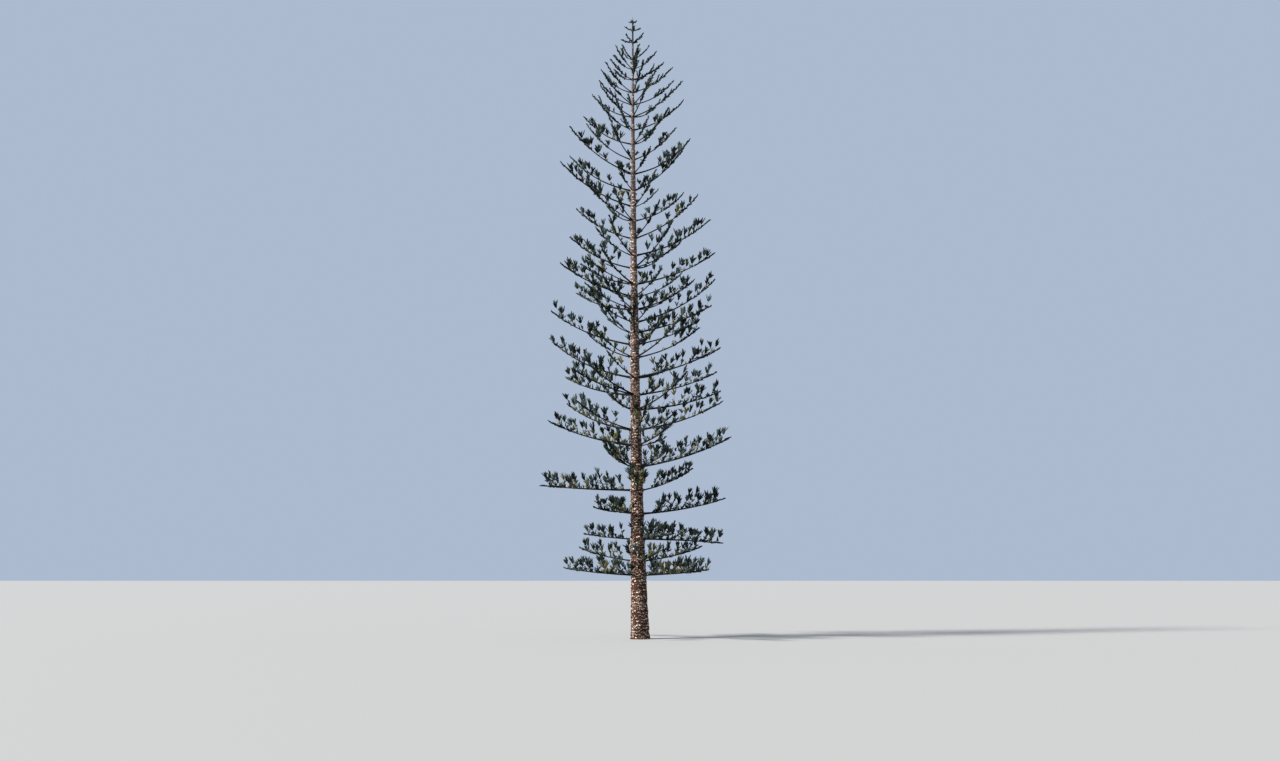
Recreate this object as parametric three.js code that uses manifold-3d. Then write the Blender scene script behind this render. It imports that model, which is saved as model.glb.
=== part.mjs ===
// A Norfolk Island pine: one straight trunk, a tall open cone of whorls, and boughs that bear
// upright tufts of cord-like foliage.
// Millimetres, +Z up. The origin is the centre of the flat cut at ground level.
// -Y is the side that is looked at, so +X is to the right of it.
import * as THREE from "three";
import { mergeVertices } from "three/addons/utils/BufferGeometryUtils.js";
import Module from "manifold-3d";

const wasm = await Module();
wasm.setup();
const { Manifold } = wasm;

const METRE = 1000;
const UP = new THREE.Vector3(0, 0, 1);
const CLEARANCE = 0.35; // between neighbours that meet

// The whole tree
const HEIGHT = 34350;
const LEAN = 410; // how far the tip stands to the left of the foot
const TRUNK_SIDES = 8;
const TRUNK_RINGS = 18;
const RING_SPACING = 1.35; // above 1, rings stand closer together at the flared foot
const TRUNK_RADIUS = 384; // at the foot, without the flare
const TRUNK_TAPER = 0.88;
const FLARE = { radius: 120, height: 3200 };
const ROOT_FLARE = { radius: 45, height: 260, lobes: 5 };
const TIP_RADIUS = 9;

// The crown's outline: the furthest that a bough reaches is the least of these, in metres, where
// `top` and `round` go by the height left above it, `top` with `neck` of it bare, and `foot` and
// `swell` by its own height.
const OUTLINE = { top: 0.6, neck: 1.2, round: 1.064, foot: 3.9, swell: 0.17 };
// The leader carries short boughs: its length in metres, and their reach over the height left.
const LEADER = { length: 1.7, reach: 0.42 };
const PAST_OUTLINE = 1.12; // how far past it, as a factor, a bough that shows may reach
const SHORTEST_HIDDEN = 0.5; // the least that a bough to the front or back has of it
const SHORTEST_YOUNG = 0.85; // and that a young one has
const ACROSS = 0.6; // cosine from which a bough counts as one to the left or right
const SECOND = 0.8; // where two boughs point to one side, the second one's reach over the first's

// Each whorl of boughs from the ground up: its height on the trunk and how far its boughs reach to
// the left and to the right, in metres, and how much they rise there over that reach.
const WHORLS = [
  [3.35, 4.9, 4, 0.12, 0.08],
  [4.1, 3, 3.3, 0.2, 0.2],
  [5.25, 2.8, 4.3, 0.14, -0.03],
  [6.6, 2.2, 4.6, 0.14, 0.18],
  [7.85, 5.1, 2.9, 0.08, 0.4],
  [9.1, 1.9, 4.8, 0.65, 0.28],
  [10.25, 4.6, 1.5, 0.28, 0.35],
  [11.1, 3.8, 4.6, 0.42, 0.3],
  [12.2, 1.3, 4.5, 0.6, 0.28],
  [13, 3.9, 4.3, 0.34, 0.28],
  [13.95, 4.55, 4.4, 0.5, 0.27],
  [15.05, 2.6, 3.4, 0.55, 0.5],
  [15.75, 4.55, 3.4, 0.48, 0.36],
  [16.4, 1.8, 4, 0.8, 0.36],
  [17, 2.4, 4.3, 0.6, 0.52],
  [17.7, 3.1, 3.2, 0.4, 0.5],
  [18.4, 3.9, 2.6, 0.36, 0.58],
  [19.1, 3, 4.3, 0.5, 0.42],
  [20, 3.4, 2.5, 0.58, 0.5],
  [20.7, 2, 4.1, 0.75, 0.47],
  [21.65, 3.1, 3.4, 0.6, 0.67],
  [22.65, 2.4, 2.7, 0.65, 0.7],
  [23.45, 4, 1.3, 0.6, 0.8],
  [24.35, 3.4, 3, 0.7, 0.8],
  [25.3, 3.4, 3.2, 0.65, 0.75],
  [26.1, 2.5, 2.3, 0.83, 0.75],
  [27, 2.7, 1.9, 0.8, 0.85],
  [27.8, 1.9, 2.8, 0.8, 0.74],
  [28.55, 2.2, 2.65, 0.8, 0.68],
  [29.25, 1.8, 2.25, 0.87, 0.7],
  [29.95, 1.8, 2.2, 0.9, 0.6],
  [30.7, 1.45, 1.8, 0.8, 0.5],
  [31.3, 1.05, 1.25, 0.93, 0.8],
  [31.85, 0.7, 0.9, 1.15, 0.85],
  [32.85, 0.56, 0.58, 0.5, 0.5],
  [33.55, 0.36, 0.36, 0.3, 0.3],
  [34, 0.16, 0.16, 0.2, 0.2],
];
const OPEN_WHORLS = 3; // the lowest whorls, whose boughs and foliage are solids of their own
const BARE_SHARE = 0.3; // of such a bough's reach, before its foliage starts

// Swollen ring of bark at each whorl: what it adds to the trunk's radius, and its half height
const COLLAR = { radius: 42, radiusShare: 0.12, height: 30, heightShare: 0.3 };

// Boughs
const FIVE_BELOW = 20; // metres up, below which every other whorl has five boughs, not four
const YOUNG = 28.5; // metres up, above which every whorl has, up to the leader
const TWIST = 0.6; // radians that a whorl is turned by at most, so that tiers don't stack up
const GOLDEN = 0.618; // spreads the turns of successive whorls evenly
const TURN_JITTER = 0.16;
const FRONT = -Math.PI / 2;
const FRONT_GAP = 0.5; // radians to each side of the front that few boughs point into
const FRONT_EVERY = 3; // one of so many of the whorls below FIVE_BELOW keeps its bough to the front
const RISE_JITTER = 0.04;
const LEAST_RISE = 0.8; // of the rise to its side, that a bough keeps however it is turned
const RISE_START = 0.5; // share of the rise that comes evenly, before the tip turns up
const RISE_POWER = 2.6;
const SWEEP = 0.07; // sideways bend of a bough, over its reach
const LIMB_RADIUS = 15;
const LIMB_STOUTNESS = 0.0085; // radius at the trunk, over reach, on top of LIMB_RADIUS
const LIMB_TIP = 10;
const LIMB_TAPER = 0.7;
const LIMB_START = 18; // from the trunk's surface to a limb's end, which is sunk in the collar
const LIMB_SIDES = 3;
const LIMB_RINGS = 3;
const SHORT_LIMB = 2700; // reach under which a limb has a ring less
const BOUGH_SIDES = 4;
const BOUGH_RINGS = 2;

// Tufts of foliage
const TUFT_START = 0.24; // share of the reach where foliage starts
const TUFT_END = 0.93;
const TUFT_LAST = 0.97; // where the tuft at the bough's tip is rooted
const TUFT_LEAN = { out: 0.5, side: 0.5, up: 0.7 }; // how a tuft leans, in parts
const TUFT_LENGTH = { base: 340, byReach: 0.19, taper: 0.55 }; // it gets shorter along the bough
const TIP_TUFT = { base: 140, byReach: 0.075, up: 0.25 };
const TUFTS = { base: 0.4, byMetre: 0.8, most: 4 }; // how many stand on a bough, by its reach
const TUFT_SIDES = 3;
const TUFT_FAT = 0.19; // half width over length
const TUFT_WIDEST = 0.62;
const TUFT_GROWN = 1.1; // a tuft this much larger has to clear the other solids
const TUFT_TRIES = [1, 0.82, 0.64]; // sizes that are tried in turn where room is short
const ROOT_MARGIN = 0.04; // share of the reach that stays bare at a stem's foot
const TIERS_NEAR = 5; // whorls further apart than this can't touch

// A number from 0 to 1 that depends on the keys alone.
function chance(...keys) {
  let h = 2166136261;
  for (const key of keys) {
    h = Math.imul(h ^ (key + 1), 16777619) >>> 0;
    h = Math.imul(h ^ (h >>> 13), 1540483477) >>> 0;
    h = (h ^ (h >>> 15)) >>> 0;
  }
  return h / 4294967296;
}

const spread = (...keys) => 2 * chance(...keys) - 1;

// The trunk's rings: it tapers to its tip, and leans to the left low down and less above.
const trunkRings = Array.from({ length: TRUNK_RINGS + 1 }, (_, i) => {
  const z = HEIGHT * (i / TRUNK_RINGS) ** RING_SPACING;
  const left = 1 - z / HEIGHT;
  const radius = TRUNK_RADIUS * left ** TRUNK_TAPER + FLARE.radius * Math.exp(-z / FLARE.height);
  return { z, radius: radius + TIP_RADIUS, x: -LEAN * (1 - left * left) };
});

// The trunk at height z: its radius, and the x of its middle.
function trunkAt(z) {
  const above = Math.max(1, trunkRings.findIndex((ring) => ring.z >= z));
  const [a, b] = [trunkRings[above - 1], trunkRings[above]];
  const share = (z - a.z) / (b.z - a.z);
  return { radius: a.radius + (b.radius - a.radius) * share, x: a.x + (b.x - a.x) * share };
}

// A closed three.js shape as a solid that can be joined and cut.
function solid(geometry) {
  geometry.deleteAttribute("normal");
  geometry.deleteAttribute("uv");
  const merged = mergeVertices(geometry, 1e-3);
  const mesh = new wasm.Mesh({
    numProp: 3,
    vertProperties: new Float32Array(merged.getAttribute("position").array),
    triVerts: new Uint32Array(merged.index.array),
  });
  return new Manifold(mesh);
}

// A solid turned round the trunk's leaning middle, from pairs of radius and height.
function turned(outline) {
  const points = outline.map(([r, z]) => new THREE.Vector2(r, z));
  const geometry = new THREE.LatheGeometry(points, TRUNK_SIDES);
  geometry.rotateX(Math.PI / 2);
  const p = geometry.getAttribute("position");
  for (let i = 0; i < p.count; i++) {
    const [x, y, z] = [p.getX(i), p.getY(i), p.getZ(i)];
    const round = Math.atan2(y, x);
    const lobe = 0.5 + 0.5 * Math.cos(ROOT_FLARE.lobes * round);
    const root = ROOT_FLARE.radius * lobe * Math.exp(-z / ROOT_FLARE.height);
    const grown = Math.hypot(x, y) > 1 ? root : 0;
    p.setXYZ(i, x + trunkAt(z).x + grown * Math.cos(round), y + grown * Math.sin(round), z);
  }
  return solid(geometry);
}

// The trunk, with its surface moved out by `extra`.
function trunkSolid(extra) {
  const surface = trunkRings.map((ring) => [ring.radius + extra, ring.z]);
  return turned([[0, 0], ...surface, [0, HEIGHT]]);
}

// The crown's outline: the furthest that a bough reaches at a height.
function envelope(height) {
  const left = (HEIGHT - height) / METRE;
  if (left < LEADER.length) return METRE * LEADER.reach * left;
  const tapered = OUTLINE.top * (left - OUTLINE.neck);
  const swollen = OUTLINE.foot + (OUTLINE.swell * height) / METRE;
  return METRE * Math.min(tapered, OUTLINE.round * Math.sqrt(left), swollen);
}

// Turns a bough that would point straight to the front to one side of the trunk, the left and the
// right in turn. The young whorls near the tip and every third one low in the crown keep theirs.
function clearOfFront(turn, whorl) {
  const off = THREE.MathUtils.euclideanModulo(turn - FRONT + Math.PI, 2 * Math.PI) - Math.PI;
  const height = WHORLS[whorl][0];
  const isKept = height > YOUNG || (height < FIVE_BELOW && whorl % FRONT_EVERY === 1);
  if (Math.abs(off) >= FRONT_GAP || isKept) return turn;
  return FRONT + (whorl % 2 ? -FRONT_GAP : FRONT_GAP);
}

// One bough's centreline, from the trunk's middle at u = 0 to its tip at u = 1. It leaves the
// trunk's surface at its whorl's height.
class BoughLine extends THREE.Curve {
  constructor(height, turn, reach, rise, sweep) {
    super();
    Object.assign(this, { height, turn, reach, rise, sweep });
    const { radius, x } = trunkAt(height);
    this.foot = new THREE.Vector3(x, 0, height - rise * RISE_START * radius);
    this.side = new THREE.Vector3(-Math.sin(turn), Math.cos(turn), 0);
  }

  getPoint(u, target = new THREE.Vector3()) {
    const lift = this.rise * (RISE_START * u + (1 - RISE_START) * u ** RISE_POWER);
    const bend = this.sweep * u * u;
    return target
      .set(Math.cos(this.turn) * u, Math.sin(this.turn) * u, lift)
      .addScaledVector(this.side, bend)
      .multiplyScalar(this.reach)
      .add(this.foot);
  }

  radiusAt(u) {
    const root = LIMB_RADIUS + LIMB_STOUTNESS * this.reach;
    return LIMB_TIP + (root - LIMB_TIP) * (1 - u) ** LIMB_TAPER;
  }
}

function boughCount(whorl) {
  const height = WHORLS[whorl][0];
  const isYoung = height > YOUNG && height < HEIGHT / METRE - LEADER.length;
  return isYoung || (whorl > OPEN_WHORLS && whorl % 2 && height < FIVE_BELOW) ? 5 : 4;
}

// The boughs of one whorl. The longer side's bough points along that side. The others are spread
// round the trunk, and those to the front and back take their reach from the crown's outline.
function boughLines(whorl) {
  const [metres, left, right, leftRise, rightRise] = WHORLS[whorl];
  const height = metres * METRE;
  const count = boughCount(whorl);
  const start = left >= right ? Math.PI : 0;
  const twist = TWIST * (2 * ((whorl * GOLDEN) % 1) - 1) * (count === 5 ? 0.5 : 1);
  const lines = [];
  for (let i = 0; i < count; i++) {
    const even = start + twist + (2 * Math.PI * i) / count;
    const turn = clearOfFront(even + TURN_JITTER * spread(whorl, i, 1), whorl);
    const across = Math.cos(turn);
    const least = metres > YOUNG ? SHORTEST_YOUNG : SHORTEST_HIDDEN;
    let reach = least + (1 - least) * chance(whorl, i, 2);
    let slope = (leftRise + rightRise) / 2;
    if (Math.abs(across) > ACROSS) {
      const seen = (METRE * (across < 0 ? left : right)) / Math.abs(across);
      reach = Math.min((seen * (i > count / 2 ? SECOND : 1)) / envelope(height), PAST_OUTLINE);
      slope = across < 0 ? leftRise : rightRise;
    }
    reach *= envelope(height);
    const rise = slope * Math.max(Math.abs(across), LEAST_RISE) + RISE_JITTER * spread(whorl, i, 3);
    lines.push(new BoughLine(height, turn, reach, rise, SWEEP * spread(whorl, i, 4)));
  }
  return lines;
}

// A tapering tube along a bough from share u0 to share u1 of its line, with a flat side up.
function limb(line, u0, u1, sides, rings) {
  const geometry = new THREE.CylinderGeometry(1, 1, 1, sides, rings);
  const p = geometry.getAttribute("position");
  const down = new THREE.Vector3();
  const at = new THREE.Vector3();
  for (let i = 0; i < p.count; i++) {
    const u = u0 + (u1 - u0) * (0.5 - p.getY(i));
    down.crossVectors(line.getTangent(u), line.side);
    const r = line.radiusAt(u);
    at.copy(line.getPoint(u));
    at.addScaledVector(line.side, p.getX(i) * r).addScaledVector(down, p.getZ(i) * r);
    p.setXYZ(i, at.x, at.y, at.z);
  }
  return solid(geometry);
}

const limbRings = (line) => (line.reach < SHORT_LIMB ? LIMB_RINGS - 1 : LIMB_RINGS);

// The middle of such a tube at share u, which lies on a straight piece between two of its rings.
function middle(line, u, u0) {
  const step = (1 - u0) / limbRings(line);
  const ring = Math.min(limbRings(line) - 1, Math.floor((u - u0) / step));
  const a = line.getPoint(u0 + step * ring);
  const b = line.getPoint(u0 + step * (ring + 1));
  return a.lerp(b, (u - u0) / step - ring);
}

// One tuft: a spindle that widens outwards, from its root in the limb to its blunt point.
function tuft(root, direction, length, roll) {
  const outline = [
    new THREE.Vector2(0, 0),
    new THREE.Vector2(TUFT_FAT * length, TUFT_WIDEST * length),
    new THREE.Vector2(0, length),
  ];
  const geometry = new THREE.LatheGeometry(outline, TUFT_SIDES);
  geometry.rotateY(roll);
  const turn = new THREE.Quaternion().setFromUnitVectors(new THREE.Vector3(0, 1, 0), direction);
  geometry.applyQuaternion(turn);
  geometry.translate(root.x, root.y, root.z);
  return solid(geometry);
}

// The side of the tree that a bough points to, with the front towards -Y.
function sideOf(turn) {
  const [x, y] = [Math.cos(turn), Math.sin(turn)];
  if (Math.abs(x) > Math.abs(y)) return x < 0 ? "left" : "right";
  return y < 0 ? "front" : "back";
}

// Where a bough's tufts are rooted, which way they stand and how long they are: in turn to the
// left and right of the limb, leaning outwards and up, and one that carries on from the tip.
function tuftPlaces(line, whorl, bough) {
  const wanted = TUFTS.base + (TUFTS.byMetre * line.reach) / METRE;
  const count = Math.round(THREE.MathUtils.clamp(wanted, 1, TUFTS.most));
  const longest = TUFT_LENGTH.base + TUFT_LENGTH.byReach * line.reach;
  const places = [];
  for (let i = 0; i < count; i++) {
    const share = (i + 0.5 + 0.3 * spread(whorl, bough, i, 5)) / count;
    const u = TUFT_START + (TUFT_END - TUFT_START) * share;
    const hand = (i + bough) % 2 ? 1 : -1;
    const aside = hand * TUFT_LEAN.side * (1 + 0.3 * spread(whorl, bough, i, 6));
    const up = TUFT_LEAN.up * (1 + 0.2 * spread(whorl, bough, i, 7));
    const direction = line.getTangent(u).multiplyScalar(TUFT_LEAN.out);
    direction.addScaledVector(line.side, aside).addScaledVector(UP, up).normalize();
    const length = longest * (1 + 0.15 * spread(whorl, bough, i, 8)) * (1.1 - TUFT_LENGTH.taper * share);
    places.push({ u, direction, length, roll: Math.PI * chance(whorl, bough, i, 9) });
  }
  const ahead = line.getTangent(TUFT_LAST).addScaledVector(UP, TIP_TUFT.up).normalize();
  const length = TIP_TUFT.base + TIP_TUFT.byReach * line.reach;
  places.push({ u: TUFT_LAST, direction: ahead, length, roll: 0 });
  return places;
}

const near = (a, b) => {
  const [p, q] = [a.boundingBox(), b.boundingBox()];
  return [0, 1, 2].every((k) => p.min[k] <= q.max[k] && q.min[k] <= p.max[k]);
};

const meets = (a, b) => near(a, b) && a.intersect(b).numTri() > 0;

const bark = new THREE.MeshStandardMaterial({ color: 0x6f5646, roughness: 0.95, metalness: 0 });
const limbBark = new THREE.MeshStandardMaterial({ color: 0x6b6259, roughness: 0.9, metalness: 0 });
const foliage = new THREE.MeshStandardMaterial({ color: 0x3f4d33, roughness: 0.8, metalness: 0 });

const tree = new THREE.Group();

function addNode(name, body, material) {
  const mesh = body.getMesh();
  const geometry = new THREE.BufferGeometry();
  geometry.setAttribute("position", new THREE.BufferAttribute(mesh.vertProperties, 3));
  geometry.setIndex(new THREE.BufferAttribute(mesh.triVerts, 1));
  geometry.computeVertexNormals();
  const node = new THREE.Mesh(geometry, material);
  node.name = name;
  tree.add(node);
}

// The swollen ring of bark that a whorl's boughs spring from, clear of the trunk inside it.
function collar(height) {
  const r = trunkAt(height).radius;
  const half = COLLAR.height + COLLAR.heightShare * r;
  const low = [trunkAt(height - half).radius + CLEARANCE, height - half];
  const wide = [(1 + COLLAR.radiusShare) * r + COLLAR.radius, height];
  const high = [trunkAt(height + half).radius + CLEARANCE, height + half];
  return turned([low, wide, high, low]);
}

const trunk = trunkSolid(0);
const trunkClear = trunkSolid(CLEARANCE);
addNode("trunk", trunk, bark);

// A whorl whose boughs are solids of their own, with a mass of foliage on the end of each.
function openWhorl(whorl) {
  return boughLines(whorl).map((line, key) => {
    const from = BARE_SHARE + CLEARANCE / line.reach;
    const bough = limb(line, 0, BARE_SHARE, BOUGH_SIDES, BOUGH_RINGS).subtract(trunkClear);
    const body = limb(line, from, 1, BOUGH_SIDES, limbRings(line));
    const place = `${whorl + 1}_${sideOf(line.turn)}`;
    addNode(`bough_${place}`, bough, limbBark);
    return { name: `foliage_${place}`, whorl, limbs: [{ line, key, from }], body, bough };
  });
}

// A whorl that is one solid: its collar, its boughs and their foliage.
function closedWhorl(whorl) {
  const lines = boughLines(whorl);
  const start = trunkAt(lines[0].height).radius + LIMB_START;
  const limbs = lines.map((line, key) => ({ line, key, from: start / line.reach }));
  const tubes = limbs.map(({ line, from }) => limb(line, from, 1, LIMB_SIDES, limbRings(line)));
  const body = Manifold.union([collar(lines[0].height), ...tubes]);
  return [{ name: `whorl_${String(whorl + 1).padStart(2, "0")}`, whorl, limbs, body }];
}

// Limbs come first, so that every tuft can be tested against all of them.
const masses = WHORLS.flatMap((_, whorl) => (whorl < OPEN_WHORLS ? openWhorl : closedWhorl)(whorl));

// Foliage: a tuft that would touch the trunk, another node or another tuft is made smaller, or
// left out.
for (const mass of masses) {
  const others = masses.filter((m) => m !== mass && Math.abs(m.whorl - mass.whorl) < TIERS_NEAR);
  const boughs = masses.flatMap((m) => m.bough ?? []);
  const taken = [trunk, ...boughs, ...others.map((m) => m.body)];
  const grown = [];
  for (const { line, key, from } of mass.limbs) {
    for (const { u, direction, length, roll } of tuftPlaces(line, mass.whorl, key)) {
      if (u < from + ROOT_MARGIN) continue;
      const root = middle(line, u, from);
      const isClear = (size) => {
        const test = tuft(root, direction, size * length * TUFT_GROWN, roll);
        return ![...taken, ...grown].some((other) => meets(test, other));
      };
      const size = TUFT_TRIES.find(isClear);
      if (size) grown.push(tuft(root, direction, size * length, roll));
    }
  }
  mass.body = Manifold.union([mass.body, ...grown]);
  addNode(mass.name, mass.body, foliage);
}

export default tree;
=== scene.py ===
# A Norfolk Island pine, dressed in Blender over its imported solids: bark with relief on the trunk
# and the boughs, and cord-like shoots in upright sprays where the solids have plain tufts.
import math

import bmesh
import bpy
import numpy as np
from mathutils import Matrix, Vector, noise


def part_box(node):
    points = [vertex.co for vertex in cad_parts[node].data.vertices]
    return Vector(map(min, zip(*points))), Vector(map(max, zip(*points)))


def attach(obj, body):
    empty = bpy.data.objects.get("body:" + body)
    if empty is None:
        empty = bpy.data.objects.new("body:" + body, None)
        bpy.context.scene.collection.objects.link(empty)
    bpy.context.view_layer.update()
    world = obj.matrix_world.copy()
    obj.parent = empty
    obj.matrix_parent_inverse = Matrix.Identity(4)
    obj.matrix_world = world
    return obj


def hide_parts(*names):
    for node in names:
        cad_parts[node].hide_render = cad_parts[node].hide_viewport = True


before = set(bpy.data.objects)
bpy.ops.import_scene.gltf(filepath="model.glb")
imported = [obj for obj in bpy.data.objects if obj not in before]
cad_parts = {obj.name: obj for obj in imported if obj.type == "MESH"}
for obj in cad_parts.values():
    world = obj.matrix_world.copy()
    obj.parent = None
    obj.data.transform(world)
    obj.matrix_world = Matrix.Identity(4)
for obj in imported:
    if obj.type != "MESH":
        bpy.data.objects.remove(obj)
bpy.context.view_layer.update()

# The camera stands in front of the tree, 3.55 m above its foot, and looks up a little. The tree
# is in the middle of the view, so that other views turn round it.
IMAGE_WIDTH = 1280
FOCAL_PIXELS = 1408
SENSOR = 36.0
CAMERA_PLACE = (0.0, -75.5, 3.55)
CAMERA_TILT = math.radians(7.71)
VIEW_DEPTH = 1000

bpy.ops.object.camera_add(location=CAMERA_PLACE, rotation=(math.pi / 2 + CAMERA_TILT, 0, 0))
camera = bpy.context.object
camera.data.sensor_width = SENSOR
camera.data.lens = SENSOR * FOCAL_PIXELS / IMAGE_WIDTH
camera.data.clip_end = VIEW_DEPTH
bpy.context.scene.camera = camera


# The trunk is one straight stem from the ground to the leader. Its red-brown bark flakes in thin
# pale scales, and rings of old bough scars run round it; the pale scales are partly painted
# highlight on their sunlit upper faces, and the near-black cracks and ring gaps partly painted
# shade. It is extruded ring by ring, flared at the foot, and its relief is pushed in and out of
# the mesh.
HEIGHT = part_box("trunk")[1].z
LEAN = 0.41
TRUNK_RADIUS = 0.384
TRUNK_TAPER = 0.88
TIP_RADIUS = 0.009
FLARE_RADIUS, FLARE_HEIGHT = 0.12, 3.2
ROOT_RADIUS, ROOT_HEIGHT, ROOT_LOBES = 0.045, 0.26, 5
TRUNK_SIDES = 96
FOOT_LENGTH = 8.0
FOOT_STEP, STEM_STEP = 0.13, 0.36
COLLAR_RINGS = (-1.3, -0.65, 0, 0.65, 1.3)
CLOSEST_RINGS = 0.018
NEXT_TO_LAST_RING, LAST_RING = 0.05, 0.01
RING_CUTS, LONGEST_UNCUT = 4, 0.1
FULL_RELIEF_RADIUS = 0.3
SCAR_STEP, SCAR_DEPTH, SCAR_SHARPNESS = 0.46, 0.016, 6
SCAR_WANDER, SCAR_WANDER_RATE = 2, 1.7
WAVE_DEPTH, WAVE_RATE = 0.012, 9.1
RIPPLE_DEPTH, RIPPLE_RATE, RIPPLE_START = 0.008, 23.7, 1
OVAL_DEPTH, OVAL_LOBES, OVAL_TURN = 0.015, 3, 0.8
PLATE_SIZE, PLATE_FLATNESS, PLATE_DEPTH = 0.12, 1.8, 0.045
LUMP_SIZE, LUMP_DEPTH = 0.5, 0.02
FINE_LUMP_SHARE, FINE_LUMP_RATE = 0.5, 2.3

# Each whorl of boughs from the ground up: its height, its reach to the left and the right, and
# its rise over its reach to the left and the right.
WHORLS = [
    (3.35, 4.9, 4, 0.12, 0.08),
    (4.1, 3, 3.3, 0.2, 0.2),
    (5.25, 2.8, 4.3, 0.14, -0.03),
    (6.6, 2.2, 4.6, 0.14, 0.18),
    (7.85, 5.1, 2.9, 0.08, 0.4),
    (9.1, 1.9, 4.8, 0.65, 0.28),
    (10.25, 4.6, 1.5, 0.28, 0.35),
    (11.1, 3.8, 4.6, 0.42, 0.3),
    (12.2, 1.3, 4.5, 0.6, 0.28),
    (13, 3.9, 4.3, 0.34, 0.28),
    (13.95, 4.55, 4.4, 0.5, 0.27),
    (15.05, 2.6, 3.4, 0.55, 0.5),
    (15.75, 4.55, 3.4, 0.48, 0.36),
    (16.4, 1.8, 4, 0.8, 0.36),
    (17, 2.4, 4.3, 0.6, 0.52),
    (17.7, 3.1, 3.2, 0.4, 0.5),
    (18.4, 3.9, 2.6, 0.36, 0.58),
    (19.1, 3, 4.3, 0.5, 0.42),
    (20, 3.4, 2.5, 0.58, 0.5),
    (20.7, 2, 4.1, 0.75, 0.47),
    (21.65, 3.1, 3.4, 0.6, 0.67),
    (22.65, 2.4, 2.7, 0.65, 0.7),
    (23.45, 4, 1.3, 0.6, 0.8),
    (24.35, 3.4, 3, 0.7, 0.8),
    (25.3, 3.4, 3.2, 0.65, 0.75),
    (26.1, 2.5, 2.3, 0.83, 0.75),
    (27, 2.7, 1.9, 0.8, 0.85),
    (27.8, 1.9, 2.8, 0.8, 0.74),
    (28.55, 2.2, 2.65, 0.8, 0.68),
    (29.25, 1.8, 2.25, 0.87, 0.7),
    (29.95, 1.8, 2.2, 0.9, 0.6),
    (30.7, 1.45, 1.8, 0.8, 0.5),
    (31.3, 1.05, 1.25, 0.93, 0.8),
    (31.85, 0.7, 0.9, 1.15, 0.85),
    (32.85, 0.56, 0.58, 0.5, 0.5),
    (33.55, 0.36, 0.36, 0.3, 0.3),
    (34, 0.16, 0.16, 0.2, 0.2),
]
COLLAR = {"radius": 0.03, "share": 0.07, "height": 0.03, "height_share": 0.3, "spread": 1.3}

# The bark's pattern: how flat its flakes lie, how closely each part of it repeats, the levels
# between which one part gives way to the next, and the heights between which it weathers.
BARK_FLATNESS = (1, 1, 1.7)
DRIFT_RATE, FLAKE_RATE, RING_RATE, SHED_RATE, GRAIN_RATE = 1.3, 8.5, 1.9, 5.5, 45
DRIFT_DETAIL, SHED_DETAIL, GRAIN_DETAIL = 5, 1, 4
BODY_BELOW, WARM_ABOVE = 0.35, 0.62
RING_WAVES = {"Distortion": 5.0, "Detail": 2.0, "Detail Scale": 1.6}
CROWDING_BY_RING = {"To Min": 0.55, "To Max": 1.1}
FLAKE_EDGE, PALE_ABOVE = 0.12, 0.6
CRACK_TO, CRACK_FADES_TO = 0.05, 0.25
RING_GAP_TO, RING_GAP_FADES_TO, RING_GAP_SHARE = 0.1, 0.4, 0.75
BARED_TO, BARED_FADES_TO, BARED_SHARE = 0.38, 0.5, 0.7
GRAIN_SHARE = 0.35
BUMP_HEIGHT, BUMP_STRENGTH = 0.03, 0.7
BARK_ROUGHNESS = {"To Min": 0.78, "To Max": 1.0}
BARK_SHINE = 0.1
WEATHERED_FROM, WEATHERED_TO = 8, 26
WEATHERED_COLOUR = (150, 139, 133)


def trunk_middle(z):
    left = 1 - min(1.0, z / HEIGHT)
    return -LEAN * (1 - left * left)


def trunk_radius(z):
    left = max(0.0, 1 - z / HEIGHT)
    flare = FLARE_RADIUS * math.exp(-z / FLARE_HEIGHT)
    return TRUNK_RADIUS * left**TRUNK_TAPER + flare + TIP_RADIUS


def collar_half(height):
    return COLLAR["height"] + COLLAR["height_share"] * trunk_radius(height)


def collar_swell(z):
    """How far the bark swells out at a height for the whorls near it."""
    swell = 0.0
    for height, *_ in WHORLS:
        full = COLLAR["radius"] + COLLAR["share"] * trunk_radius(height)
        near = max(0.0, 1 - abs(z - height) / (COLLAR["spread"] * collar_half(height)))
        swell = max(swell, full * near * near * (3 - 2 * near))
    return swell


def relief_share(z):
    """The bark's relief, which gets shallow where the stem is thin."""
    return min(1.0, trunk_radius(z) / FULL_RELIEF_RADIUS)


def ring_radius(z):
    phase = 2 * math.pi * z / SCAR_STEP + SCAR_WANDER * math.sin(SCAR_WANDER_RATE * z)
    scar = SCAR_DEPTH * max(0.0, math.cos(phase)) ** SCAR_SHARPNESS
    wave = WAVE_DEPTH * math.sin(WAVE_RATE * z)
    ripple = RIPPLE_DEPTH * math.sin(RIPPLE_RATE * z + RIPPLE_START)
    worn = 1 + wave + ripple
    return trunk_radius(z) * worn + collar_swell(z) - scar * relief_share(z)


def deselect_all():
    bpy.ops.object.select_all(action="DESELECT")


# Heights of the rings that are extruded: even steps, and five rings over every whorl's collar.
foot_heights = np.arange(0, FOOT_LENGTH, FOOT_STEP)
ring_heights = [*foot_heights, *np.arange(FOOT_LENGTH, HEIGHT, STEM_STEP)]
for height, *_ in WHORLS:
    ring_heights += [height + collar_half(height) * share for share in COLLAR_RINGS]
ring_heights = sorted(z for z in ring_heights if z < HEIGHT - NEXT_TO_LAST_RING)
ring_heights.append(HEIGHT - LAST_RING)
ring_heights = [z for z, below in zip(ring_heights[1:], ring_heights) if z - below > CLOSEST_RINGS]

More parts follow.
